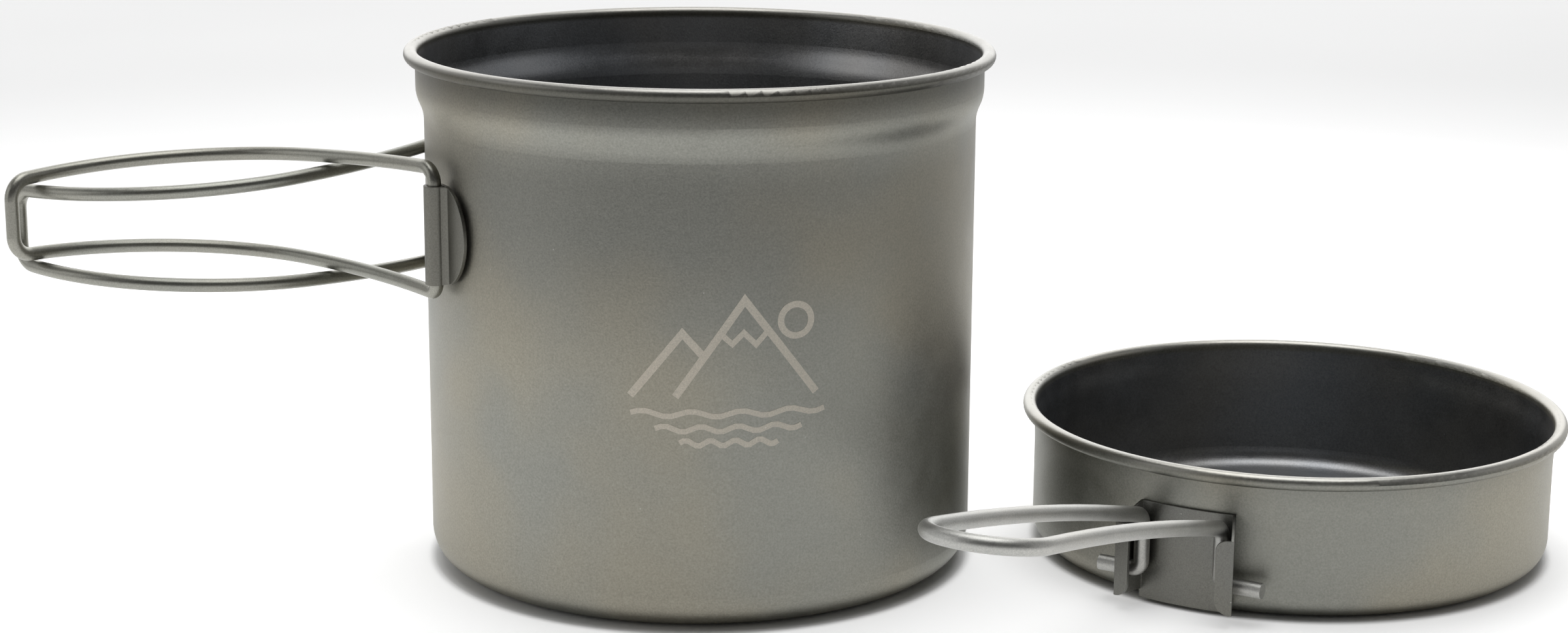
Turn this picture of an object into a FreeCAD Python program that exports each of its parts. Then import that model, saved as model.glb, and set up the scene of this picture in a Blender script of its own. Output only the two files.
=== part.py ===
import FreeCAD, Part
import math
import os
import Sketcher

# Camping cook pot set: a tall pot with two folding wire handles, and a shallow pan (it doubles as
# the lid) with one folding wire handle, standing side by side.
# Frame: +Z up, millimetres. The origin is on the ground at the pot's axis. The pot's open handles
# point along -X, and the pan stands on the +X side.

os.makedirs("parts", exist_ok=True)
doc = FreeCAD.newDocument("camping_cook_pot_set")
sheet = doc.addObject("Spreadsheet::Sheet", "Sizes")
V = FreeCAD.Vector


class Size:
    """A number that remembers the spreadsheet expression it comes from."""

    def __init__(self, value, text=None):
        self.value = float(value)
        self.text = text or repr(float(value))

    def __add__(self, other):
        other = as_size(other)
        return Size(self.value + other.value, f"({self.text} + {other.text})")

    def __sub__(self, other):
        other = as_size(other)
        return Size(self.value - other.value, f"({self.text} - {other.text})")

    def __mul__(self, other):
        other = as_size(other)
        return Size(self.value * other.value, f"({self.text} * {other.text})")

    def __truediv__(self, other):
        other = as_size(other)
        return Size(self.value / other.value, f"({self.text} / {other.text})")

    __radd__ = __add__
    __rmul__ = __mul__


def as_size(number):
    return number if isinstance(number, Size) else Size(number)


def named(name, value):
    """Write one driving dimension into the spreadsheet and return it."""
    row = named.rows = named.rows + 1
    sheet.set(f"A{row}", name)
    sheet.set(f"B{row}", str(value))
    sheet.setAlias(f"B{row}", name)
    return Size(value, f"Sizes.{name}")


named.rows = 0

# ---- driving dimensions -------------------------------------------------------------------------
SHEET = named("VesselSheet", 0.5)              # drawn titanium sheet of both vessels
CURL = named("RimCurlRadius", 1.4)             # outside radius of the rolled rim
CURL_END = named("RimCurlEnd", -105)           # direction in which the rolled edge stops, degrees

POT_R = named("PotRadius", 57.0)
POT_H = named("PotHeight", 108.2)
POT_CORNER = named("PotCornerRadius", 7.0)
POT_STEP = named("PotCollarStep", 1.6)         # the collar is this much wider: it seats the pan
POT_STEP_H = named("PotCollarSlope", 7.0)      # height over which the wall widens
POT_STEP_Z = named("PotCollarStart", 93.4)

PAN_R = named("PanRadius", 55.4)
PAN_H = named("PanHeight", 30.5)
PAN_CORNER = named("PanCornerRadius", 5.0)
PAN_STEP = named("PanCollarStep", 0.4)         # spread over a long slope, so the wall just flares
PAN_STEP_H = named("PanCollarSlope", 6.5)
PAN_STEP_Z = named("PanCollarStart", 21.6)
PAN_X = named("PanX", 127.3)
PAN_Y = named("PanY", -6.7)

HINGE_R = named("HingeRadius", 59.85)          # pot axis to the axis of each handle barrel
HINGE_ANGLE = named("HingeHalfAngle", 24.0)    # each barrel's bearing to either side of -X
WIRE = named("PotWireRadius", 1.4)
FIT = named("HingeClearance", 0.07)            # radial running clearance of a wire in its hole
STRIP = named("BracketSheet", 0.7)
BARREL_H = named("BarrelHeight", 20.0)
BARREL_Z = named("BarrelBottom", 63.8)
REAR_DROP = named("RearHandleDrop", 3.2)       # the rear handle sits lower, so the wires can cross
FLAP_W = named("FlapHalfWidth", 8.0)           # of the ellipse that trims the flap into a D
FLAP_SHIFT = named("FlapShift", 1.2)           # of its middle from the barrel, along the wall
WELD_R = named("SpotWeldRadius", 1.5)
WELD_LEVEL = named("SpotWeldLevel", 0.3)       # share of the barrel's height, from either end
WELD_BITE = named("SpotWeldBite", 0.2)         # into the wall, and short of the bracket's outer face

LOOP_TOP = named("LoopTopAtHinge", 87.3)
LOOP_LOW = named("LoopBottomAtHinge", 61.8)
LOOP_TIP_TOP = named("LoopTopAtTip", 81.7)
LOOP_TIP_LOW = named("LoopBottomAtTip", 66.4)
LOOP_AIM = named("LoopStartAngle", 55.2)       # the open loop first heads this far off -X
LOOP_NEAR_R = named("LoopNearRadius", 103.0)
LOOP_NEAR_L = named("LoopNearLength", 36.1)
LOOP_FAR_R = named("LoopFarRadius", 42.0)
LOOP_FAR_L = named("LoopFarLength", 60.0)
TOP_BEND = named("LoopTopBend", 3.4)
LOW_BEND = named("LoopBottomBend", 1.9)
TIP_BEND = named("LoopTipBend", 3.9)

PLATE = named("PanBracketSheet", 0.6)
PLATE_GAP = named("PanBracketGap", 0.1)        # curved plate to the pan's wall, bridged by the welds
PLATE_HALF = named("PanBracketHalfWidth", 10.1)
PLATE_Z = named("PanBracketBottom", 0.8)
PLATE_H = named("PanBracketHeight", 20.6)
FLANGE = named("ChannelDepth", 7.0)
FLANGE_LEAN = named("ChannelLean", 21.0)       # the channel's side leans outward, degrees
CHANNEL_Z = named("ChannelBottom", 2.6)
LIP = named("LipWidth", 3.6)
LIP_H = named("LipHeight", 15.5)
LIP_TOP_R = named("LipTopRadius", 2.1)
LIP_LOW_R = named("LipBottomRadius", 3.4)
PAN_WELD_TURN = named("PanWeldAngle", 5.5)     # of each row of spot welds, off the middle, degrees
PAN_WELD_LOW = named("PanWeldLow", 0.42)       # shares of the plate's height
PAN_WELD_HIGH = named("PanWeldHigh", 0.82)
PAN_WIRE = named("PanWireRadius", 1.6)
PIVOT_R = named("PanPivotRadius", 58.0)        # pan axis to the pivot line
PIVOT_Z = named("PanPivotHeight", 7.7)
PIN_REACH = named("PanPinReach", 17.7)         # bracket's middle to the end of each pin
LEG_HALF = named("PanLegHalfSpacing", 8.6)
LEG_TOP = named("PanLegTop", 19.2)
HANDLE_L = named("PanHandleLength", 97.6)
HANDLE_RISE = named("PanHandleRise", 13.0)     # the arms slope up this much, degrees
HANDLE_ARCH = named("PanHandleArch", 2.6)      # and are this much steeper at first, degrees
ARCH_RUN = named("PanHandleArchRun", 36.0)
HANDLE_MID = named("PanHandleMidHalfWidth", 10.5)
HANDLE_HALF = named("PanHandleHalfWidth", 11.4)
PIN_BEND = named("PanPinBend", 1.9)
EAR_BEND = named("PanEarBend", 3.2)
END_BEND = named("PanEndBend", 11.1)
SPLIT = named("PanLegArmLength", 4.5)          # the sprung leg's share of the arm
PAN_BEARING = named("PanHandleBearing", 233.0)  # direction of the pan's handle, degrees from +X


# ---- helpers ------------------------------------------------------------------------------------
def bound(obj, **sizes):
    """Bind properties of obj to spreadsheet expressions."""
    for prop, size in sizes.items():
        obj.setExpression(prop, as_size(size).text)
    return obj


def sketch_on(body, name, role):
    """New sketch on one of the body's own origin planes."""
    sketch = body.newObject("Sketcher::SketchObject", name)
    plane = [f for f in body.Origin.OriginFeatures if f.Role == role][0]
    sketch.AttachmentSupport = [(plane, "")]
    sketch.MapMode = "FlatFace"
    return sketch


def draw_outline(sketch, corners, curves):
    """Closed outline. curves maps a corner's index to (radius, side) for an arc from that corner to
    the next one, its centre to the left (side 1) or right (side -1) of the way round."""
    count = len(corners)
    points = [V(x.value, y.value, 0) for x, y in corners]
    ends = []
    for i in range(count):
        p, q = points[i], points[(i + 1) % count]
        if i in curves:
            radius, side = curves[i]
            chord = q - p
            reach = math.sqrt(max(radius.value ** 2 - chord.Length ** 2 / 4, 0))
            normal = V(-chord.y, chord.x, 0).normalize() * side
            centre = (p + q) * 0.5 + normal * reach
            first, last = (p, q) if side > 0 else (q, p)
            a0, a1 = (math.atan2(*reversed((e - centre)[:2])) for e in (first, last))
            circle = Part.Circle(centre, V(0, 0, 1), radius.value)
            sketch.addGeometry(Part.ArcOfCircle(circle, a0, a1), False)
            ends.append((1, 2) if side > 0 else (2, 1))
        else:
            sketch.addGeometry(Part.LineSegment(p, q), False)
            ends.append((1, 2))
    for i in range(count):
        nxt = (i + 1) % count
        sketch.addConstraint(Sketcher.Constraint("Coincident", i, ends[i][1], nxt, ends[nxt][0]))
    for i, (x, y) in enumerate(corners):
        for kind, size, axis in (("DistanceX", x, -2), ("DistanceY", y, -1)):
            if abs(size.value) < 1e-9:
                sketch.addConstraint(Sketcher.Constraint("PointOnObject", i, ends[i][0], axis))
            else:
                rule = Sketcher.Constraint(kind, -1, 1, i, ends[i][0], size.value)
                index = sketch.addConstraint(rule)
                sketch.setExpression(f"Constraints[{index}]", size.text)
    for i, (radius, _) in curves.items():
        index = sketch.addConstraint(Sketcher.Constraint("Radius", i, radius.value))
        sketch.setExpression(f"Constraints[{index}]", radius.text)


def trig(name, function, angle):
    return Size(function(math.radians(angle.value)), f"{name}({angle.text})")


def vessel(node, radius, height, corner, step, step_h, step_z):
    """Drawn sheet vessel turned about its axis: flat floor, rounded corner, upright wall, a slightly
    wider collar above an S-shaped slope, and a rim rolled outward and down."""
    nil = Size(0)
    bend = (step_h * step_h + step * step) / (step * 4)
    square = step_h * step_h + step * step
    slant_cos = (step_h * step_h - step * step) / square
    slant_sin = step_h * step * 2 / square
    mid_r, mid_z = radius + step / 2, step_z + step_h / 2
    collar = radius + step
    curl_r, curl_z = collar - SHEET + CURL, height - CURL
    inner = CURL - SHEET
    end_cos, end_sin = trig("cos", math.cos, CURL_END), trig("sin", math.sin, CURL_END)
    corners = [
        (nil, nil), (radius - corner, nil), (radius, corner), (radius, step_z), (mid_r, mid_z),
        (collar, step_z + step_h), (collar, curl_z), (curl_r, curl_z + inner),
        (curl_r + inner, curl_z), (curl_r + inner * end_cos, curl_z + inner * end_sin),
        (curl_r + CURL * end_cos, curl_z + CURL * end_sin), (curl_r + CURL, curl_z),
        (curl_r, height), (collar - SHEET, curl_z), (collar - SHEET, step_z + step_h),
        (mid_r - SHEET * slant_cos, mid_z + SHEET * slant_sin), (radius - SHEET, step_z),
        (radius - SHEET, corner), (radius - corner, SHEET), (nil, SHEET),
    ]
    curves = {
        1: (corner, 1), 3: (bend, -1), 4: (bend, 1), 6: (inner, -1), 7: (inner, -1), 8: (inner, -1),
        10: (CURL, 1), 11: (CURL, 1), 12: (CURL, 1), 14: (bend - SHEET, -1), 15: (bend + SHEET, 1),
        17: (corner - SHEET, -1),
    }
    body = doc.addObject("PartDesign::Body", node)
    body.Label = node
    sketch = sketch_on(body, node + "_section", "XZ_Plane")
    draw_outline(sketch, corners, curves)
    turned = body.newObject("PartDesign::Revolution", node + "_turned")
    turned.Profile = sketch
    turned.ReferenceAxis = (sketch, ["V_Axis"])
    turned.Angle = 360
    sketch.Visibility = False
    return body


def primitive(kind, name, place, **sizes):
    obj = bound(doc.addObject(kind, name), **sizes)
    obj.Placement = place
    return obj


def combine(kind, name, *parts):
    """Part::Cut, Part::MultiFuse, Part::MultiCommon or Part::Compound of other objects."""
    obj = doc.addObject(kind, name)
    if kind == "Part::Cut":
        obj.Base, obj.Tool = parts
    elif kind == "Part::Compound":
        obj.Links = list(parts)
    else:
        obj.Shapes = list(parts)
    obj.Label = name
    return obj


def bearing(degrees):
    return V(math.cos(math.radians(degrees)), math.sin(math.radians(degrees)), 0)


def bend_arc(corner, way_in, way_out, run):
    """Arc that rounds a corner of a wire's centre line, from run before it to run after it. Returns
    its start, middle and end."""
    half = way_in.getAngle(way_out) / 2
    inward = (way_out - way_in).normalize()
    middle = corner + inward * (run / math.sin(half) - run / math.tan(half))
    return corner - way_in * run, middle, corner + way_out * run


def run_for(radius, before, corner, after):
    """How far from a corner an arc of this radius begins."""
    return radius * math.tan((corner - before).getAngle(after - corner) / 2)


def bent_wire(corners, runs):
    """Edges of a centre line through corners: straight pieces joined by tangent arcs. Each arc
    begins and ends one run away from its corner."""
    edges, start = [], corners[0]
    for i, run in enumerate(runs, 1):
        way_in = (corners[i] - corners[i - 1]).normalize()
        way_out = (corners[i + 1] - corners[i]).normalize()
        a, b, c = bend_arc(corners[i], way_in, way_out, run)
        if (a - start).Length > 1e-6:
            edges.append(Part.LineSegment(start, a).toShape())
        edges.append(Part.Arc(a, b, c).toShape())
        start = c
    return edges + [Part.LineSegment(start, corners[-1]).toShape()]


def swept(edges, radius):
    """Solid round wire along a smooth chain of edges."""
    path = Part.Wire(edges)
    first = path.OrderedEdges[0]
    start = path.OrderedVertexes[0].Point
    ahead = first.tangentAt(first.FirstParameter)
    if (first.valueAt(first.FirstParameter) - start).Length > 1e-6:
        ahead = first.tangentAt(first.LastParameter) * -1
    profile = Part.Wire([Part.Circle(start, ahead, radius).toShape()])
    return path.makePipeShell([profile], True, False)


def wire_node(name, shape):
    """A wire bent in space: its centre line lies in no one plane, so it is swept directly."""
    obj = doc.addObject("Part::Feature", name)
    obj.Label = name
    obj.Shape = shape
    return obj


# ---- the two vessels ----------------------------------------------------------------------------
pot_body = vessel("pot_body", POT_R, POT_H, POT_CORNER, POT_STEP, POT_STEP_H, POT_STEP_Z)
pan_body = vessel("pan_body", PAN_R, PAN_H, PAN_CORNER, PAN_STEP, PAN_STEP_H, PAN_STEP_Z)
bound(pan_body, **{"Placement.Base.x": PAN_X, "Placement.Base.y": PAN_Y})


# ---- pot handle brackets ------------------------------------------------------------------------
def pot_bracket(node, side, drop):
    """Strip that lies along the pot's wall as a D-shaped flap, rises in a smooth hollow and curls
    round the wire into an upright barrel. side is -1 at the front (-Y)."""
    aim = 180 - side * HINGE_ANGLE.value
    hinge = bearing(aim) * HINGE_R.value
    low = V(0, 0, BARREL_Z.value - drop)
    curl_r = WIRE + FIT + STRIP
    flap_r = HINGE_R - curl_r + FIT
    hollow_r = HINGE_R - flap_r - STRIP
    at_hinge = FreeCAD.Placement(hinge + low, FreeCAD.Rotation(V(0, 0, 1), aim))
    outside = primitive("Part::Cylinder", node + "_outside", at_hinge, Radius=curl_r, Height=BARREL_H)
    bore = primitive("Part::Cylinder", node + "_bore", at_hinge, Radius=WIRE + FIT, Height=BARREL_H)
    wall = primitive("Part::Cylinder", node + "_wall", FreeCAD.Placement(low, FreeCAD.Rotation()),
                     Radius=flap_r, Height=BARREL_H)

    def sector(name, radius, degrees):
        """Wedge about the pot's axis, from the barrel's middle towards the flap's side."""
        first = aim if side < 0 else aim - degrees
        place = FreeCAD.Placement(low, FreeCAD.Rotation(V(0, 0, 1), first))
        return primitive("Part::Cylinder", name, place,
                         Radius=radius, Height=BARREL_H, Angle=Size(degrees))

    # The flap: a shell along the wall, trimmed by an upright ellipse.
    span = math.degrees(BARREL_H.value / HINGE_R.value)
    shell = combine("Part::Cut", node + "_shell", sector(node + "_sector", flap_r + STRIP, span), wall)
    turn = math.degrees(FLAP_SHIFT.value / HINGE_R.value)
    out = bearing(aim - side * turn)
    upright_oval = FreeCAD.Rotation(V(0, 0, 1), out.cross(V(0, 0, 1)), out, "ZXY")
    middle = out * (flap_r - STRIP).value + low + V(0, 0, BARREL_H.value / 2)
    oval = primitive("Part::Ellipse", node + "_oval", FreeCAD.Placement(middle, upright_oval),
                     MajorRadius=BARREL_H / 2, MinorRadius=FLAP_W)
    trim = bound(doc.addObject("Part::Extrusion", node + "_trim"), LengthFwd=STRIP * 6)
    trim.Base, trim.DirMode, trim.Dir, trim.Solid = oval, "Custom", out, True
    flap = combine("Part::MultiCommon", node + "_flap", shell, trim)

    # The hollow: a quarter-round valley between the barrel and the flap's outer face.
    reach = 2 * math.degrees(math.asin((curl_r + hollow_r).value / 2 / HINGE_R.value))
    deep = bearing(aim - side * reach) * (HINGE_R - FIT).value + low
    valley = primitive("Part::Cylinder", node + "_valley", FreeCAD.Placement(deep, FreeCAD.Rotation()),
                       Radius=hollow_r, Height=BARREL_H)
    web = combine("Part::Cut", node + "_web", sector(node + "_web_blank", HINGE_R - STRIP / 2, reach),
                  combine("Part::MultiFuse", node + "_web_tools", wall, valley))
    web = combine("Part::MultiCommon", node + "_web_trimmed", web, trim)

    # The curled edge stops just short of the wall behind the barrel, which leaves a narrow seam.
    away = curl_r.value if side > 0 else 0.0
    seam_corner = hinge - bearing(aim) * (WIRE + FIT).value + bearing(aim - 90) * away + low
    seam = primitive("Part::Box", node + "_seam",
                     FreeCAD.Placement(seam_corner, FreeCAD.Rotation(V(0, 0, 1), aim)),
                     Length=STRIP / 2, Width=curl_r, Height=BARREL_H)
    barrel = combine("Part::Cut", node + "_barrel", outside, bore)
    sheet_side = combine("Part::Cut", node + "_sheet_side",
                         combine("Part::MultiFuse", node + "_flap_and_web", flap, web), outside)
    joined = combine("Part::MultiFuse", node + "_joined", barrel, sheet_side)
    return combine("Part::Cut", node, joined, seam)


brackets = [pot_bracket("pot_bracket_front", -1, 0.0),
            pot_bracket("pot_bracket_rear", 1, REAR_DROP.value)]


def pot_welds():
    """Spot welds that carry each flap on the pot's wall: two per bracket, one above the other."""
    spots = []
    depth = HINGE_R - WIRE - POT_R
    for side, drop in ((-1, 0.0), (1, REAR_DROP.value)):
        aim = 180 - side * (HINGE_ANGLE.value + math.degrees(BARREL_H.value / 4 / HINGE_R.value))
        for level in (WELD_LEVEL.value, 1 - WELD_LEVEL.value):
            base = bearing(aim) * (POT_R - WELD_BITE).value
            base.z = BARREL_Z.value - drop + BARREL_H.value * level
            place = FreeCAD.Placement(base, FreeCAD.Rotation(V(0, 0, 1), bearing(aim)))
            spots.append(primitive("Part::Cylinder", f"pot_weld_{len(spots)}", place,
                                   Radius=WELD_R, Height=depth))
    return combine("Part::Compound", "pot_spot_welds", *spots)


welds = [pot_welds()]


# ---- pot handle loops ---------------------------------------------------------------------------
def arm_plan(start, heading, side):
    """Plan of one curved arm as the corners of its tangent arcs: a gentle arc, then a tighter one
    taken as two equal arcs. Returns the corners, each arc's run, and the arm's end."""
    here, aim, corners, runs = V(start), heading, [], []
    far = LOOP_FAR_L.value / 2
    for radius, length in ((LOOP_NEAR_R.value, LOOP_NEAR_L.value), (LOOP_FAR_R.value, far),
                           (LOOP_FAR_R.value, far)):
        turn = length / radius
        run = radius * math.tan(turn / 2)
        corner = here + bearing(aim) * run
        aim -= side * math.degrees(turn)
        here = corner + bearing(aim) * run
        corners.append(corner)
        runs.append(run)
    return corners, runs, here, aim


def pot_loop(node, side, drop):
    """Closed wire loop: an upright run inside the barrel, two curved arms that close in towards the
    tip, and a short upright run at the tip. Each half is swept from the barrel's middle outward."""
    hinge = bearing(180 - side * HINGE_ANGLE.value) * HINGE_R.value
    heading = 180 + side * LOOP_AIM.value
    start = hinge + bearing(heading) * TOP_BEND.value
    plan, runs, end, last = arm_plan(start, heading, side)
    plan = [hinge] + plan + [end + bearing(last) * TIP_BEND.value]
    along = [0.0]
    for before, after in zip(plan, plan[1:]):
        along.append(along[-1] + (after - before).Length)
    middle = V(0, 0, (LOOP_TOP.value + LOOP_LOW.value) / 2 - drop)
    halves = []
    for root, tip, bend in ((LOOP_TOP, LOOP_TIP_TOP, TOP_BEND), (LOOP_LOW, LOOP_TIP_LOW, LOW_BEND)):
        slope = (tip - root).value / along[-1]
        corners = [spot + V(0, 0, root.value - drop + slope * far) for spot, far in zip(plan, along)]
        corners = [plan[0] + middle] + corners + [plan[-1] + middle]
        stretch = math.sqrt(1 + slope ** 2)
        bends = [run * stretch for run in [bend.value] + runs + [TIP_BEND.value]]
        halves.append(swept(bent_wire(corners, bends), WIRE.value))
    return wire_node(node, halves[0].fuse(halves[1]).removeSplitter())


loops = [pot_loop("pot_handle_front", -1, 0.0),
         pot_loop("pot_handle_rear", 1, REAR_DROP.value)]


# ---- pan bracket --------------------------------------------------------------------------------
# Local frame of the pan's handle: +X straight out from the pan's axis, +Y along the pivot line.
pan_place = FreeCAD.Placement(V(PAN_X.value, PAN_Y.value, 0), FreeCAD.Rotation(V(0, 0, 1), PAN_BEARING.value))


def local(place):
    return pan_place.multiply(place)


def upright(x, y, z, degrees=0.0):
    return local(FreeCAD.Placement(V(x, y, z), FreeCAD.Rotation(V(0, 0, 1), degrees)))


def pan_bracket():
    """Plate curved to the pan's wall, folded at both ends into a channel that is open towards the
    middle. Each channel's side has a hole for one pin of the handle."""
    inside, outside = PAN_R + PLATE_GAP, PAN_R + PLATE_GAP + PLATE
    half = math.degrees(math.asin(PLATE_HALF.value / outside.value))
    spread = upright(0, 0, PLATE_Z.value, -half)
    sector = primitive("Part::Cylinder", "pan_bracket_sector", spread,
                       Radius=outside, Height=PLATE_H, Angle=Size(2 * half))
    wall = primitive("Part::Cylinder", "pan_bracket_wall", spread, Radius=inside, Height=PLATE_H)
    pieces = [combine("Part::Cut", "pan_bracket_plate", sector, wall)]
    root_x = inside.value * math.cos(math.radians(half))
    tools = []
    for side in (-1, 1):
        name = f"pan_channel_{'left' if side < 0 else 'right'}"
        lean = side * FLANGE_LEAN.value
        # A box's width grows to its own left, so the sheets on the right start one width in.
        shift, lip_shift = (0.0, 0.0) if side < 0 else (-PLATE.value, -LIP.value)
        foot = V(root_x, side * PLATE_HALF.value, CHANNEL_Z.value)
        turn = FreeCAD.Rotation(V(0, 0, 1), lean)
        side_h = PLATE_Z + PLATE_H - CHANNEL_Z
        flange = primitive("Part::Box", name + "_side",
                           local(FreeCAD.Placement(foot + turn.multVec(V(0, shift, 0)), turn)),
                           Length=FLANGE + PLATE, Width=PLATE, Height=side_h)
        # The side's upper outer corner is cut off on a slope, down to the top of the lip.
        slope = math.degrees(math.atan2((side_h - LIP_H).value, FLANGE.value))
        tilt = turn.multiply(FreeCAD.Rotation(V(0, 1, 0), slope))
        brow = foot + turn.multVec(V(PLATE.value, shift - PLATE.value, side_h.value))
        tools.append(primitive("Part::Box", name + "_brow", local(FreeCAD.Placement(brow, tilt)),
                               Length=FLANGE * 2, Width=PLATE * 3, Height=PLATE_H))
        # The lip is folded square to the side, back towards the middle.
        edge = foot + turn.multVec(V(FLANGE.value, lip_shift, 0))
        lip = primitive("Part::Box", name + "_lip_blank", local(FreeCAD.Placement(edge, turn)),
                        Length=PLATE, Width=LIP, Height=LIP_H)
        pieces += [flange, rounded_lip(name + "_lip", lip, side)]
    along = FreeCAD.Rotation(V(0, 0, 1), V(0, 1, 0))
    hole_place = local(FreeCAD.Placement(V(PIVOT_R.value, -PIN_REACH.value, PIVOT_Z.value), along))
    tools.append(primitive("Part::Cylinder", "pan_bracket_holes", hole_place,
                           Radius=PAN_WIRE + FIT, Height=PIN_REACH * 2))
    joined = combine("Part::MultiFuse", "pan_bracket_joined", *pieces)
    cutters = combine("Part::MultiFuse", "pan_bracket_cutters", *tools)
    return combine("Part::Cut", "pan_bracket", joined, cutters)


def rounded_lip(name, blank, side):
    """Round the lip's free corners: gently at the top, in one long curve at the bottom."""
    doc.recompute()
    to_blank = blank.Placement.inverse()
    free_y = 0.0 if side > 0 else LIP.value
    rounding = []
    for number, edge in enumerate(blank.Shape.Edges, 1):
        middle = to_blank.multVec(edge.CenterOfMass)
        first, last = (to_blank.multVec(v.Point) for v in edge.Vertexes)
        if abs(first.x - last.x) > PLATE.value / 2 and abs(middle.y - free_y) < 1e-6:
            radius = (LIP_TOP_R if middle.z > LIP_H.value / 2 else LIP_LOW_R).value
            rounding.append((number, radius, radius))
    lip = doc.addObject("Part::Fillet", name)
    lip.Base = blank
    lip.Edges = rounding
    return lip


brackets.append(pan_bracket())


def pan_welds():
    """Spot welds that fix the bracket's plate to the pan's wall, in two rows."""
    spots = []
    for turn in (-PAN_WELD_TURN.value, PAN_WELD_TURN.value):
        for level in (PAN_WELD_LOW.value, PAN_WELD_HIGH.value):
            out = FreeCAD.Rotation(V(0, 0, 1), bearing(turn))
            base = bearing(turn) * (PAN_R - WELD_BITE).value
            base.z = PLATE_Z.value + PLATE_H.value * level
            spots.append(primitive("Part::Cylinder", f"pan_weld_{len(spots)}",
                                   local(FreeCAD.Placement(base, out)),
                                   Radius=WELD_R, Height=PLATE_GAP + PLATE))
    return combine("Part::Compound", "pan_spot_welds", *spots)


welds.append(pan_welds())


# ---- pan handle ---------------------------------------------------------------------------------
def rising(angle):
    """Direction straight out from the pan that slopes up by this angle."""
    return V(math.cos(math.radians(angle.value)), 0, math.sin(math.radians(angle.value)))


def pan_handle():
    """One sprung wire. Each end is a pin through the bracket's side, then a leg that rises inside the
    channel and bends out into an arm. The arms and the rounded end are one node. The two sprung
    legs with their pins are another: squeezing the arms bends them in, out of the channels."""
    steep, gentle = (rising(HANDLE_RISE + HANDLE_ARCH), rising(HANDLE_RISE - HANDLE_ARCH))
    half_l = HANDLE_L.value / 2
    legs, crests, far, cuts = [], [], [], []
    for side in (-1, 1):
        pin = V(PIVOT_R.value, side * PIN_REACH.value, PIVOT_Z.value)
        knee = V(PIVOT_R.value, side * LEG_HALF.value, PIVOT_Z.value)
        ear = V(PIVOT_R.value, side * LEG_HALF.value, LEG_TOP.value)
        crest = V(PIVOT_R.value, side * HANDLE_MID.value, LEG_TOP.value) + steep * half_l
        corner = V(PIVOT_R.value, side * HANDLE_HALF.value, LEG_TOP.value) + (steep + gentle) * half_l
        cut = ear + (crest - ear).normalize() * SPLIT.value
        runs = [run_for(PIN_BEND.value, pin, knee, ear), run_for(EAR_BEND.value, knee, ear, cut)]
        legs.append(swept(bent_wire([pin, knee, ear, cut], runs), PAN_WIRE.value))
        crests.append(crest)
        far.append(corner)
        cuts.append(cut)
    run = run_for(END_BEND.value, crests[0], far[0], far[1])
    centre_line = [cuts[0], crests[0], far[0], far[1], crests[1], cuts[1]]
    arms = swept(bent_wire(centre_line, [ARCH_RUN.value, run, run, ARCH_RUN.value]), PAN_WIRE.value)
    nodes = [wire_node("pan_handle_loop", arms), wire_node("pan_handle_legs", Part.makeCompound(legs))]
    for node in nodes:
        node.Placement = pan_place
    return nodes


handles = pan_handle()

# ---- check and export ---------------------------------------------------------------------------
doc.recompute()
for obj in doc.Objects:
    if {"Invalid", "Error"} & set(obj.State):
        raise RuntimeError(f"{obj.Name} did not build: {obj.State}")

nodes = [pot_body, pan_body] + brackets + welds + loops + handles
for node in nodes:
    shape = node.Shape
    if shape.isNull() or not shape.isValid() or not shape.Solids:
        raise RuntimeError(f"{node.Label} has no valid solid")
    shape.exportStep(f"parts/{node.Label}.step")
    print(node.Label, "solids", len(shape.Solids), "volume", round(shape.Volume, 1))
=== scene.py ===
import math

import bpy
from mathutils import Matrix, Vector


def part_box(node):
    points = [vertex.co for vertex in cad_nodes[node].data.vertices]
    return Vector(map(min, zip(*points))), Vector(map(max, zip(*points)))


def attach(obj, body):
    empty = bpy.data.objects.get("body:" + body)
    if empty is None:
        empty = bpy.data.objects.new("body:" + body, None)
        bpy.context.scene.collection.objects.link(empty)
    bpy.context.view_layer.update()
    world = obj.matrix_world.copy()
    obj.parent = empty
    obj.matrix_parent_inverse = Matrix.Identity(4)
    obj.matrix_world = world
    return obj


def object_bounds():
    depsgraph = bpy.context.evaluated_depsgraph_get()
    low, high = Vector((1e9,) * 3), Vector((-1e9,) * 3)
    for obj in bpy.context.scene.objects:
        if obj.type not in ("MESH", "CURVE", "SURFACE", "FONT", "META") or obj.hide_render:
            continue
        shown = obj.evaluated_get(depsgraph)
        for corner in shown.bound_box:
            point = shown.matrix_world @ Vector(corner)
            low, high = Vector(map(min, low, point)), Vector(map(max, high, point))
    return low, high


# Looks for the camping cook pot set: bead-blasted titanium vessels, satin wire handles, folded
# brackets, and an etched mark on the pot. Everything is in metres in the CAD frame.
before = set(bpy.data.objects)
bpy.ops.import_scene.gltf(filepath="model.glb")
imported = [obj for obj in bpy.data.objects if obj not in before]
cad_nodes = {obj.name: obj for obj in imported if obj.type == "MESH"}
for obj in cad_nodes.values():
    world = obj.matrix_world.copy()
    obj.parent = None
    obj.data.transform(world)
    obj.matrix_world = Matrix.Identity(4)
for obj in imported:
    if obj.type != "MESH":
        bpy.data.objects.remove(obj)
cad_low, cad_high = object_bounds()
MM = 0.001


def add_object(name, data):
    made = bpy.data.objects.new(name, data)
    bpy.context.scene.collection.objects.link(made)
    return made


def rgb(r, g, b):
    return (r, g, b, 1.0)


WHITE = rgb(1.0, 1.0, 1.0)


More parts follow.
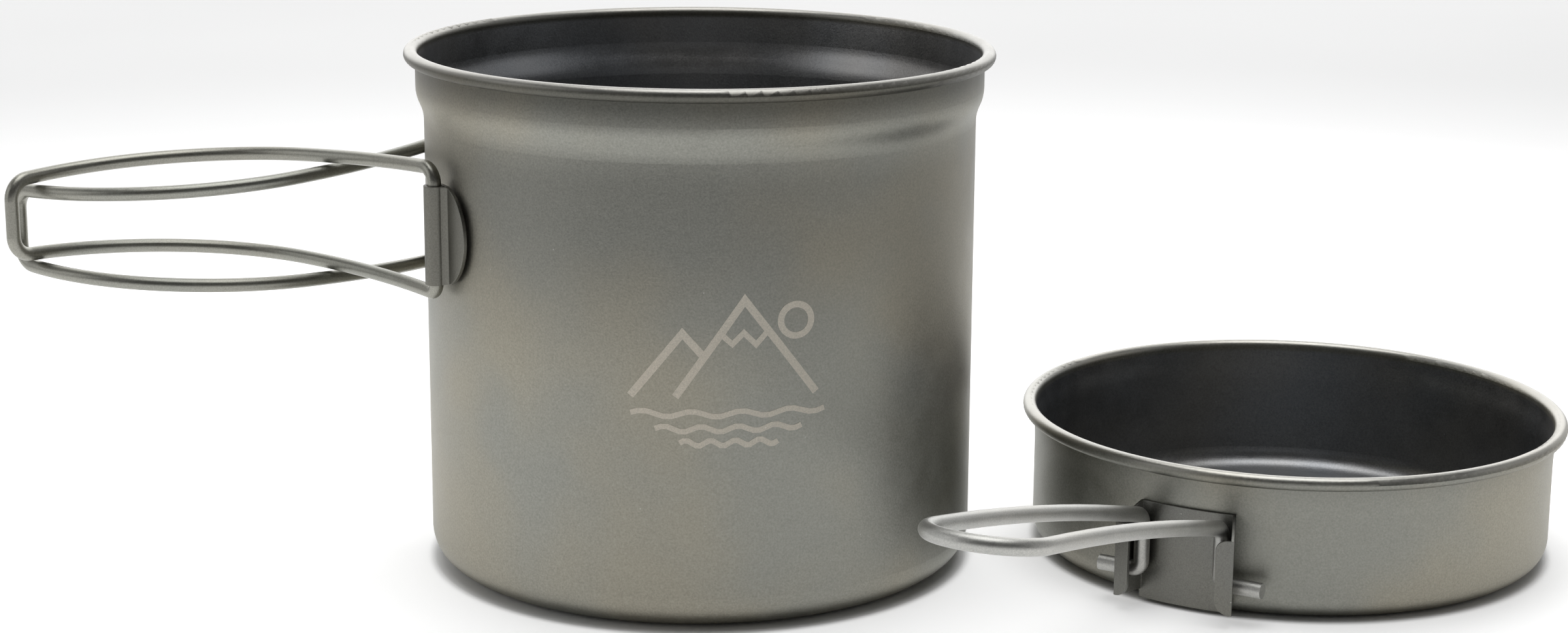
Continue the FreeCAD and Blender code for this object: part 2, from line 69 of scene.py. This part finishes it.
# ---- camera -------------------------------------------------------------------------------------
CAMERA_PLACE = (-0.04205, -0.59444, 0.1931)
CAMERA_YAW = 0.12936                    # to the right of +Y, radians
CAMERA_PITCH = 0.2322                   # downward, radians
CAMERA_ROLL = 0.0128                    # radians
CAMERA_LENS, CAMERA_SENSOR = 66.535, 36.0   # focal length and sensor width, mm
CAMERA_SHIFT = (-0.05317, -0.0049)      # as shares of the picture's width
CAMERA_CLIP = (0.01, 50.0)


def make_camera():
    """Long lens, low over the table, a little to the left of the pot's axis."""
    flat, drop = math.cos(CAMERA_PITCH), math.sin(CAMERA_PITCH)
    ahead = Vector((math.sin(CAMERA_YAW) * flat, math.cos(CAMERA_YAW) * flat, -drop))
    level = Vector((math.cos(CAMERA_YAW), -math.sin(CAMERA_YAW), 0.0))
    above = level.cross(ahead)
    right = level * math.cos(CAMERA_ROLL) + above * math.sin(CAMERA_ROLL)
    up = above * math.cos(CAMERA_ROLL) - level * math.sin(CAMERA_ROLL)
    data = bpy.data.cameras.new("camera")
    data.sensor_width, data.lens = CAMERA_SENSOR, CAMERA_LENS
    data.shift_x, data.shift_y = CAMERA_SHIFT
    data.clip_start, data.clip_end = CAMERA_CLIP
    camera = add_object("camera", data)
    turn = Matrix((right, up, -ahead)).transposed().to_4x4()
    camera.matrix_world = Matrix.Translation(CAMERA_PLACE) @ turn
    bpy.context.scene.camera = camera


# ---- node helper --------------------------------------------------------------------------------
NOISE_MEAN = 0.5


class Graph:
    """Short names for building one material's nodes. Most methods give an output socket."""

    def __init__(self, name):
        self.material = bpy.data.materials.new(name)
        self.material.use_nodes = True
        self.tree = self.material.node_tree
        self.shader = self.tree.nodes["Principled BSDF"]
        self.place = self.tree.nodes.new("ShaderNodeTexCoord").outputs["Object"]

    def node(self, kind, inputs, **settings):
        """A new node with its settings and its inputs, each a number, a colour or a socket."""
        made = self.tree.nodes.new(kind)
        for key, value in settings.items():
            setattr(made, key, value)
        for key, value in inputs.items():
            self.feed(made.inputs[key], value)
        return made

    def feed(self, socket, value):
        if isinstance(value, bpy.types.NodeSocket):
            self.tree.links.new(value, socket)
        else:
            socket.default_value = value

    def math(self, operation, a, b=0.0):
        return self.node("ShaderNodeMath", {0: a, 1: b}, operation=operation).outputs[0]

    def plus(self, a, b):
        return self.math("ADD", a, b)

    def minus(self, a, b):
        return self.math("SUBTRACT", a, b)

    def times(self, a, b):
        return self.math("MULTIPLY", a, b)

    def vector(self, operation, a, b=(0.0, 0.0, 0.0)):
        made = self.node("ShaderNodeVectorMath", {0: a, 1: b}, operation=operation)
        number = operation in ("DISTANCE", "DOT_PRODUCT")
        return made.outputs["Value" if number else "Vector"]

    def parts(self, vector):
        """The X, Y and Z of a vector."""
        return self.node("ShaderNodeSeparateXYZ", {0: vector}).outputs

    def grey(self, value):
        return self.node("ShaderNodeCombineColor", {0: value, 1: value, 2: value}).outputs[0]

    def step(self, value, low, high):
        """0 below low, 1 above high, smooth between. With low above high it falls instead."""
        return self.node("ShaderNodeMapRange", {"Value": value, "From Min": low, "From Max": high},
                         interpolation_type="SMOOTHSTEP").outputs["Result"]

    def vary(self, noise, span, centre, change):
        """Noise within span of its mean becomes a number within change of the centre."""
        ends = {"From Min": NOISE_MEAN - span, "From Max": NOISE_MEAN + span,
                "To Min": centre - change, "To Max": centre + change}
        return self.node("ShaderNodeMapRange", {"Value": noise, **ends}).outputs["Result"]

    def noise(self, size, detail, rough=0.5):
        """Noise whose blobs are about size metres across."""
        return self.node("ShaderNodeTexNoise", {"Vector": self.place, "Scale": 1.0 / size,
                                                "Detail": detail, "Roughness": rough}).outputs["Fac"]

    def mix(self, share, a, b):
        """Colour a where share is 0, colour b where it is 1."""
        made = self.node("ShaderNodeMix", {0: share}, data_type="RGBA")
        self.feed(made.inputs[6], a)
        self.feed(made.inputs[7], b)
        return made.outputs[2]

    def bump(self, height, strength, distance):
        return self.node("ShaderNodeBump", {"Height": height, "Strength": strength,
                                            "Distance": distance}).outputs["Normal"]


# ---- titanium -----------------------------------------------------------------------------------
DRIFT = {"size": 45 * MM, "detail": 2.0, "rough": 0.55}
BLOTCH = {"size": 6 * MM, "detail": 3.0, "rough": 0.6}
PIT = {"detail": 2.0, "rough": 0.65}
# How far each noise runs from its mean before its effect is full.
DRIFT_SPAN, BLOTCH_SPAN, PIT_SHADE_SPAN, PIT_ROUGH_SPAN = 0.14, 0.2, 0.25, 0.2
BLOTCH_SHADE, PIT_SHADE = 0.045, 0.20   # changes of brightness either way
ROUGH_CHANGE = 0.03                     # by the blotches, and again by the pits
PIT_STRENGTH = 0.35
NICK_CELL = 4 * MM                      # one nick may lie in each cell of this size
NICK_CHANCE = 0.16
NICK_EDGE = (0.045, 0.02)               # a nick fades in between these shares of a cell
NICK_SHARE, NICK_COLOUR = 0.45, rgb(0.75, 0.74, 0.71)


def titanium(name, warm, cool, rough, grain, grain_depth):
    """Bead-blasted titanium: fine pits, slow drifts of colour from the oxide layer, and a few small
    bright nicks. Gives the graph with its colour, roughness and normal, not plugged in yet."""
    g = Graph(name)
    g.shader.inputs["Metallic"].default_value = 1.0
    drift, blotch, pits = g.noise(**DRIFT), g.noise(**BLOTCH), g.noise(grain, **PIT)
    colour = g.mix(g.step(drift, NOISE_MEAN - DRIFT_SPAN, NOISE_MEAN + DRIFT_SPAN), warm, cool)
    shade = g.times(g.vary(blotch, BLOTCH_SPAN, 1.0, BLOTCH_SHADE),
                    g.vary(pits, PIT_SHADE_SPAN, 1.0, PIT_SHADE))
    g.rough = g.plus(g.vary(blotch, BLOTCH_SPAN, rough, ROUGH_CHANGE),
                     g.vary(pits, PIT_ROUGH_SPAN, 0.0, ROUGH_CHANGE))
    g.normal = g.bump(pits, PIT_STRENGTH, grain_depth)
    cells = g.node("ShaderNodeTexVoronoi", {"Vector": g.place, "Scale": 1.0 / NICK_CELL,
                                            "Randomness": 1.0})
    draw = g.node("ShaderNodeSeparateColor", {0: cells.outputs["Color"]}).outputs[0]
    nicks = g.times(g.step(cells.outputs["Distance"], *NICK_EDGE),
                    g.math("LESS_THAN", draw, NICK_CHANCE))
    g.colour = g.mix(g.times(nicks, NICK_SHARE), g.vector("MULTIPLY", colour, g.grey(shade)),
                     NICK_COLOUR)
    return g


def finish_material(g):
    g.feed(g.shader.inputs["Base Color"], g.colour)
    g.feed(g.shader.inputs["Roughness"], g.rough)
    g.feed(g.shader.inputs["Normal"], g.normal)
    return g.material


def coat(node, material):
    data = cad_nodes[node].data
    data.materials.clear()
    data.materials.append(material)


# ---- vessels ------------------------------------------------------------------------------------
WALL_WARM, WALL_COOL = rgb(0.338, 0.320, 0.264), rgb(0.300, 0.301, 0.270)
# Depths below the rim's top, between which each part of the finish and of the painted light and shade
# comes in or goes out.
INSIDE_FROM, INSIDE_FULL = 1.6 * MM, 2.6 * MM
# The painted shade under the rim is full at the first depth and gone at the second.
SHADE_FULL, SHADE_GONE = 3.4 * MM, 10.5 * MM
# The rim's top is brighter: wear from handling, and a painted highlight.
WEAR_AND_SHEEN_FULL, WEAR_AND_SHEEN_GONE = 0.2 * MM, 1.3 * MM
WEAR_AND_SHEEN_SHARE, WEAR_AND_SHEEN_COLOUR = 0.5, rgb(0.55, 0.54, 0.51)
WORN_SMOOTHER, INSIDE_SMOOTHER = 0.1, 0.09      # taken off the roughness
# The inside is told by the way a face looks: towards the axis, or upward. Each pair is where that
# part of the face's normal starts to count and where it counts in full.
FACES_IN, FACES_UP = (-0.1, -0.5), (0.3, 0.8)
# The dark band below the collar, which is painted shade: where its top edge fades, about the collar's
# lower end, and where it fades out below, as shares of that end's height.
BAND_ABOVE, BAND_BELOW = 5 * MM, 6 * MM
BAND_GONE, BAND_FULL = 0.5, 0.88


def vessel_material(name, node, shade, inside, collar, under, below):
    """The vessel's finish: another, cooler tint inside, darker as painted shade, and painted shade by
    these shares under the rim and below the collar. The rim is brighter, as it is handled most, and
    also as a painted highlight."""
    low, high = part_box(node)
    middle = (low + high) / 2
    g = titanium(name, WALL_WARM, WALL_COOL, rough=0.46, grain=0.40 * MM, grain_depth=0.07 * MM)
    x, y, z = g.parts(g.place)
    depth = g.minus(high.z, z)
    facing = g.node("ShaderNodeNewGeometry", {}).outputs["Normal"]
    out = g.node("ShaderNodeCombineXYZ", {0: g.minus(x, middle.x), 1: g.minus(y, middle.y)})
    outward = g.vector("DOT_PRODUCT", facing, g.vector("NORMALIZE", out.outputs[0]))
    upward = g.parts(facing)[2]
    seen_inside = g.math("MAXIMUM", g.step(outward, *FACES_IN), g.step(upward, *FACES_UP))
    inner = g.times(seen_inside, g.step(depth, INSIDE_FROM, INSIDE_FULL))
    under_rim = g.step(depth, SHADE_GONE, SHADE_FULL)
    band = g.times(g.step(z, collar + BAND_ABOVE, collar - BAND_BELOW),
                   g.step(z, collar * BAND_GONE, collar * BAND_FULL))
    # Painted shade: darker by the share under just below the rim, and by the share below in the band
    # below the collar.
    painted_shade = g.plus(g.times(under_rim, under), g.times(band, below))
    # Inside, the tint is cooler and darker than outside; its darkening is painted shade.
    tint = g.mix(inner, g.grey(g.minus(shade, painted_shade)), rgb(*inside))
    # The rim's top is lighter and smoother: wear from handling, and a painted highlight.
    wear_and_sheen = g.step(depth, WEAR_AND_SHEEN_GONE, WEAR_AND_SHEEN_FULL)
    g.colour = g.mix(g.times(wear_and_sheen, WEAR_AND_SHEEN_SHARE), g.vector("MULTIPLY", g.colour, tint), WEAR_AND_SHEEN_COLOUR)
    g.rough = g.minus(g.rough, g.times(inner, INSIDE_SMOOTHER))
    g.rough = g.minus(g.rough, g.times(wear_and_sheen, WORN_SMOOTHER))
    return finish_material(g)


def coat_vessels():
    # under and below are the shares of painted shade under the rim and below the collar; the inside
    # tint is darker as painted shade.
    coat("pot_body", vessel_material("pot_titanium", "pot_body", shade=0.92, inside=(0.92, 0.95, 1.12),
                                     collar=93.4 * MM, under=0.54, below=0.26))
    coat("pan_body", vessel_material("pan_titanium", "pan_body", shade=0.90, inside=(0.85, 0.88, 1.03),
                                     collar=21.6 * MM, under=0.12, below=0.0))


# ---- brackets and wires -------------------------------------------------------------------------
EDGE_ROUND, EDGE_SAMPLES = 0.18 * MM, 6


def edged(g):
    """Softens the folded sheet's cut edges in the shading, so that they catch the light."""
    soft = g.node("ShaderNodeBevel", {"Radius": EDGE_ROUND}, samples=EDGE_SAMPLES)
    g.feed(g.normal.node.inputs["Normal"], soft.outputs["Normal"])
    return g


def coat_small_parts():
    sheet = titanium("bracket_titanium", rgb(0.184, 0.18, 0.157), rgb(0.17, 0.17, 0.157),
                     rough=0.40, grain=0.30 * MM, grain_depth=0.04 * MM)
    pot_wire = titanium("pot_wire_titanium", rgb(0.30, 0.295, 0.26), rgb(0.275, 0.278, 0.25),
                        rough=0.38, grain=0.28 * MM, grain_depth=0.04 * MM)
    pan_wire = titanium("pan_wire_titanium", rgb(0.47, 0.46, 0.43), rgb(0.43, 0.43, 0.41),
                        rough=0.44, grain=0.28 * MM, grain_depth=0.04 * MM)
    finishes = (
        (edged(sheet), ("pot_bracket_front", "pot_bracket_rear", "pan_bracket",
                        "pot_spot_welds", "pan_spot_welds")),
        (pot_wire, ("pot_handle_front", "pot_handle_rear")),
        (pan_wire, ("pan_handle_loop", "pan_handle_legs")))
    for g, nodes in finishes:
        material = finish_material(g)
        for node in nodes:
            coat(node, material)


# ---- etched mark --------------------------------------------------------------------------------
MARK_BEARING = math.radians(271.3)      # of the mark's middle on the pot's wall, from +X
# The rest is in millimetres, across and up from the mark's middle.
MARK_HEIGHT = 53.0                      # of its middle above the ground
MARK_SKIN = 0.03                        # its outer face stands this far off the wall
PIECE = 1.2                             # longest straight piece, so that the mark follows the wall
MITRE_LIMIT = 0.4                       # least cosine used where a band turns a corner
SAME_POINT = 1e-6
PEAK_WIDTH, SUN_WIDTH, THIN_WIDTH = 1.5, 1.3, 1.1
SMALL_PEAK = [(-19.2, -5.0), (-9.0, 7.6), (-4.4, 2.4)]
LARGE_PEAK = [(-10.4, -5.0), (3.0, 14.0), (17.4, -5.0)]
SNOW_LINE = [(-1.6, 7.4), (0.6, 5.4), (2.8, 7.6), (5.2, 5.2), (7.6, 7.9)]
SUN_PLACE, SUN_R, SUN_SIDES = (13.2, 9.6), 3.1, 36
WAVES = ((-8.4, 19.2), (-11.4, 14.4), (-14.2, 9.6))     # height and half length of each line
WAVE_RISE, WAVE_STEPS, WAVE_TURN = 0.55, 24, math.pi / 3    # the turn is from step to step


def thin_out(path, longest):
    """The same path with points added, so that no piece is longer than this."""
    points = [path[0]]
    for (ax, ay), (bx, by) in zip(path, path[1:]):
        count = math.ceil(math.hypot(bx - ax, by - ay) / longest)
        points += [(ax + (bx - ax) * i / count, ay + (by - ay) * i / count)
                   for i in range(1, count + 1)]
    return points


def stroke(path, width, wrap, mesh):
    """Add one closed thin band along a path. Its section has four corners."""
    verts, faces = mesh
    points = [Vector(p) for p in thin_out(path, PIECE)]
    ring = (points[0] - points[-1]).length < SAME_POINT
    if ring:
        points.pop()
    start, count = len(verts), len(points)
    for i, point in enumerate(points):
        before = points[i - 1] if ring or i else point * 2 - points[1]
        after = points[(i + 1) % count] if ring or i < count - 1 else point * 2 - points[-2]
        way_in, way_out = (point - before).normalized(), (after - point).normalized()
        side = Vector((-way_in.y - way_out.y, way_in.x + way_out.x)).normalized()
        reach = width / 2 / max(side.dot(Vector((-way_in.y, way_in.x))), MITRE_LIMIT)
        for edge, layer in ((1, 1), (-1, 1), (-1, -1), (1, -1)):
            verts.append(wrap(point + side * reach * edge, MARK_SKIN * layer))
    for i in range(count if ring else count - 1):
        here, there = start + 4 * i, start + 4 * ((i + 1) % count)
        for k in range(4):
            faces.append((here + k, here + (k + 1) % 4, there + (k + 1) % 4, there + k))
    if not ring:
        faces.append(tuple(start + k for k in (3, 2, 1, 0)))
        faces.append(tuple(start + 4 * (count - 1) + k for k in range(4)))


def wave(height, half):
    """One wavy line of water, as long to the left of the middle as to the right."""
    return [(half * (2 * i / WAVE_STEPS - 1), height + WAVE_RISE * math.sin(i * WAVE_TURN))
            for i in range(WAVE_STEPS + 1)]


def etched_mark():
    """A made-up mark in the pot's wall: two peaks under a sun, over three lines of water."""
    wall_r = max(math.hypot(v.co.x, v.co.y) for v in cad_nodes["pot_body"].data.vertices
                 if v.co.z < MARK_HEIGHT * MM)

    def wrap(point, off):
        """From the flat drawing to the wall, off millimetres outside it."""
        angle = MARK_BEARING + point.x * MM / wall_r
        radius = wall_r + off * MM
        return (radius * math.cos(angle), radius * math.sin(angle), (MARK_HEIGHT + point.y) * MM)

    mesh = ([], [])
    turns = [i * math.tau / SUN_SIDES for i in range(SUN_SIDES)]
    sun = [(SUN_PLACE[0] + SUN_R * math.cos(a), SUN_PLACE[1] + SUN_R * math.sin(a)) for a in turns]
    stroke(SMALL_PEAK, PEAK_WIDTH, wrap, mesh)
    stroke(LARGE_PEAK, PEAK_WIDTH, wrap, mesh)
    stroke(SNOW_LINE, THIN_WIDTH, wrap, mesh)
    stroke(sun + sun[:1], SUN_WIDTH, wrap, mesh)
    for height, half in WAVES:
        stroke(wave(height, half), THIN_WIDTH, wrap, mesh)
    data = bpy.data.meshes.new("etched_mark")
    data.from_pydata(mesh[0], [], mesh[1])
    frosted = titanium("frosted_titanium", rgb(0.55, 0.51, 0.44), rgb(0.52, 0.49, 0.43),
                       rough=0.62, grain=0.26 * MM, grain_depth=0.05 * MM)
    data.materials.append(finish_material(frosted))
    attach(add_object("etched_mark", data), "pot")


# ---- stage --------------------------------------------------------------------------------------
FLOOR_R, FLOOR_SIDES = 6.0, 96
FLOOR_GAP = 0.2 * MM                    # below the lowest point of the set
PAPER_ROUGH, PAPER_SHINE = 0.9, 0.1
PAPER_TONE, PAPER_CHANGE, PAPER_SPAN = 0.88, 0.02, 0.2
PAPER_NOISE = {"size": 0.4, "detail": 2.0}
GLOW_MIDDLE = (0.05, -0.02, 0.0)
GLOW_FULL, GLOW_GONE = 0.25, 0.75       # distances from that middle
GLOW = 0.42
STANDING = {"pot_body": 57.0 * MM, "pan_body": 55.4 * MM}    # radius of each vessel's wall
# The glow's edge around each vessel's foot is a painted contact shadow.
FOOT_INSIDE, FOOT_OUTSIDE = 1.0 * MM, 1.5 * MM      # the glow's edge lies about that radius
FAR_FROM, FAR_FULL, FAR_GLOW = 2.12, 2.30, 0.55     # the other glow comes in between these Y


def make_floor():
    """A pale sheet of paper on a light table; its glow is painted light. The glow is strongest in the
    middle and is off where a vessel stands, which paints a contact shadow there. The sheet also glows
    behind the back softbox, so that no dark band shows."""
    data = bpy.data.meshes.new("floor")
    turns = [i * math.tau / FLOOR_SIDES for i in range(FLOOR_SIDES)]
    around = [(FLOOR_R * math.cos(a), FLOOR_R * math.sin(a), 0.0) for a in turns]
    data.from_pydata(around, [], [tuple(range(FLOOR_SIDES))])
    floor = add_object("floor", data)
    floor.location.z = cad_low.z - FLOOR_GAP
    g = Graph("floor_paper")
    g.shader.inputs["Roughness"].default_value = PAPER_ROUGH
    g.shader.inputs["Specular IOR Level"].default_value = PAPER_SHINE
    away = g.vector("DISTANCE", g.place, GLOW_MIDDLE)
    glow = g.times(g.step(away, GLOW_GONE, GLOW_FULL), GLOW)
    # The glow is off under each vessel: a painted contact shadow.
    for vessel, wall_r in STANDING.items():
        low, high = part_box(vessel)
        spot = (low + high) / 2
        off = g.vector("DISTANCE", g.place, (spot.x, spot.y, 0.0))
        glow = g.times(glow, g.step(off, wall_r - FOOT_INSIDE, wall_r + FOOT_OUTSIDE))
    far = g.step(g.parts(g.place)[1], FAR_FROM, FAR_FULL)
    g.feed(g.shader.inputs["Emission Strength"], g.plus(glow, g.times(far, FAR_GLOW)))
    g.shader.inputs["Emission Color"].default_value = WHITE
    tone = g.vary(g.noise(**PAPER_NOISE), PAPER_SPAN, PAPER_TONE, PAPER_CHANGE)
    g.feed(g.shader.inputs["Base Color"], g.grey(tone))
    data.materials.append(g.material)


# ---- light --------------------------------------------------------------------------------------
MIDDLE = (0.05, 0.0, 0.05)              # most lights aim here
# Each softbox: place, aim, width and height, watts.
SOFTBOXES = {"overhead": ((0.05, 0.0, 1.9), MIDDLE, (1.5, 1.5), 21.0),
             "back_wall": ((0.1, 1.9, 0.9), (0.05, 0.0, 0.1), (3.2, 1.7), 20.0),
             "left": ((-1.6, -0.3, 0.7), MIDDLE, (1.2, 1.2), 4.6),
             "right": ((1.8, -0.3, 0.7), MIDDLE, (1.2, 1.2), 2.2)}
STUDIO_DARK, STUDIO_BRIGHT = 0.07, 0.86     # in front of the set, and behind it
STUDIO_TURN = 0.7                       # direction's Y at which the studio is fully bright


def softbox(name, place, aim, size, watts):
    data = bpy.data.lights.new(name, "AREA")
    data.shape, data.energy = "RECTANGLE", watts
    data.size, data.size_y = size
    lamp = add_object(name, data)
    lamp.location = place
    lamp.rotation_euler = (Vector(aim) - Vector(place)).to_track_quat("-Z", "Y").to_euler()
    lamp.visible_camera = False


def make_world():
    """The studio is bright behind the object and dark behind the camera."""
    world = bpy.data.worlds.new("studio")
    world.use_nodes = True
    tree = world.node_tree
    way = tree.nodes.new("ShaderNodeSeparateXYZ")
    tree.links.new(tree.nodes.new("ShaderNodeTexCoord").outputs["Generated"], way.inputs[0])
    fade = tree.nodes.new("ShaderNodeMapRange")
    fade.interpolation_type = "SMOOTHSTEP"
    for key, value in (("From Min", 0.0), ("From Max", STUDIO_TURN),
                       ("To Min", STUDIO_DARK), ("To Max", STUDIO_BRIGHT)):
        fade.inputs[key].default_value = value
    tree.links.new(way.outputs["Y"], fade.inputs["Value"])
    tree.links.new(fade.outputs["Result"], tree.nodes["Background"].inputs["Strength"])
    tree.nodes["Background"].inputs["Color"].default_value = WHITE
    bpy.context.scene.world = world


make_camera()
coat_vessels()
coat_small_parts()
etched_mark()
make_floor()
make_world()
for lamp_name, settings in SOFTBOXES.items():
    softbox(lamp_name, *settings)
bpy.context.scene.view_settings.view_transform = "Standard"
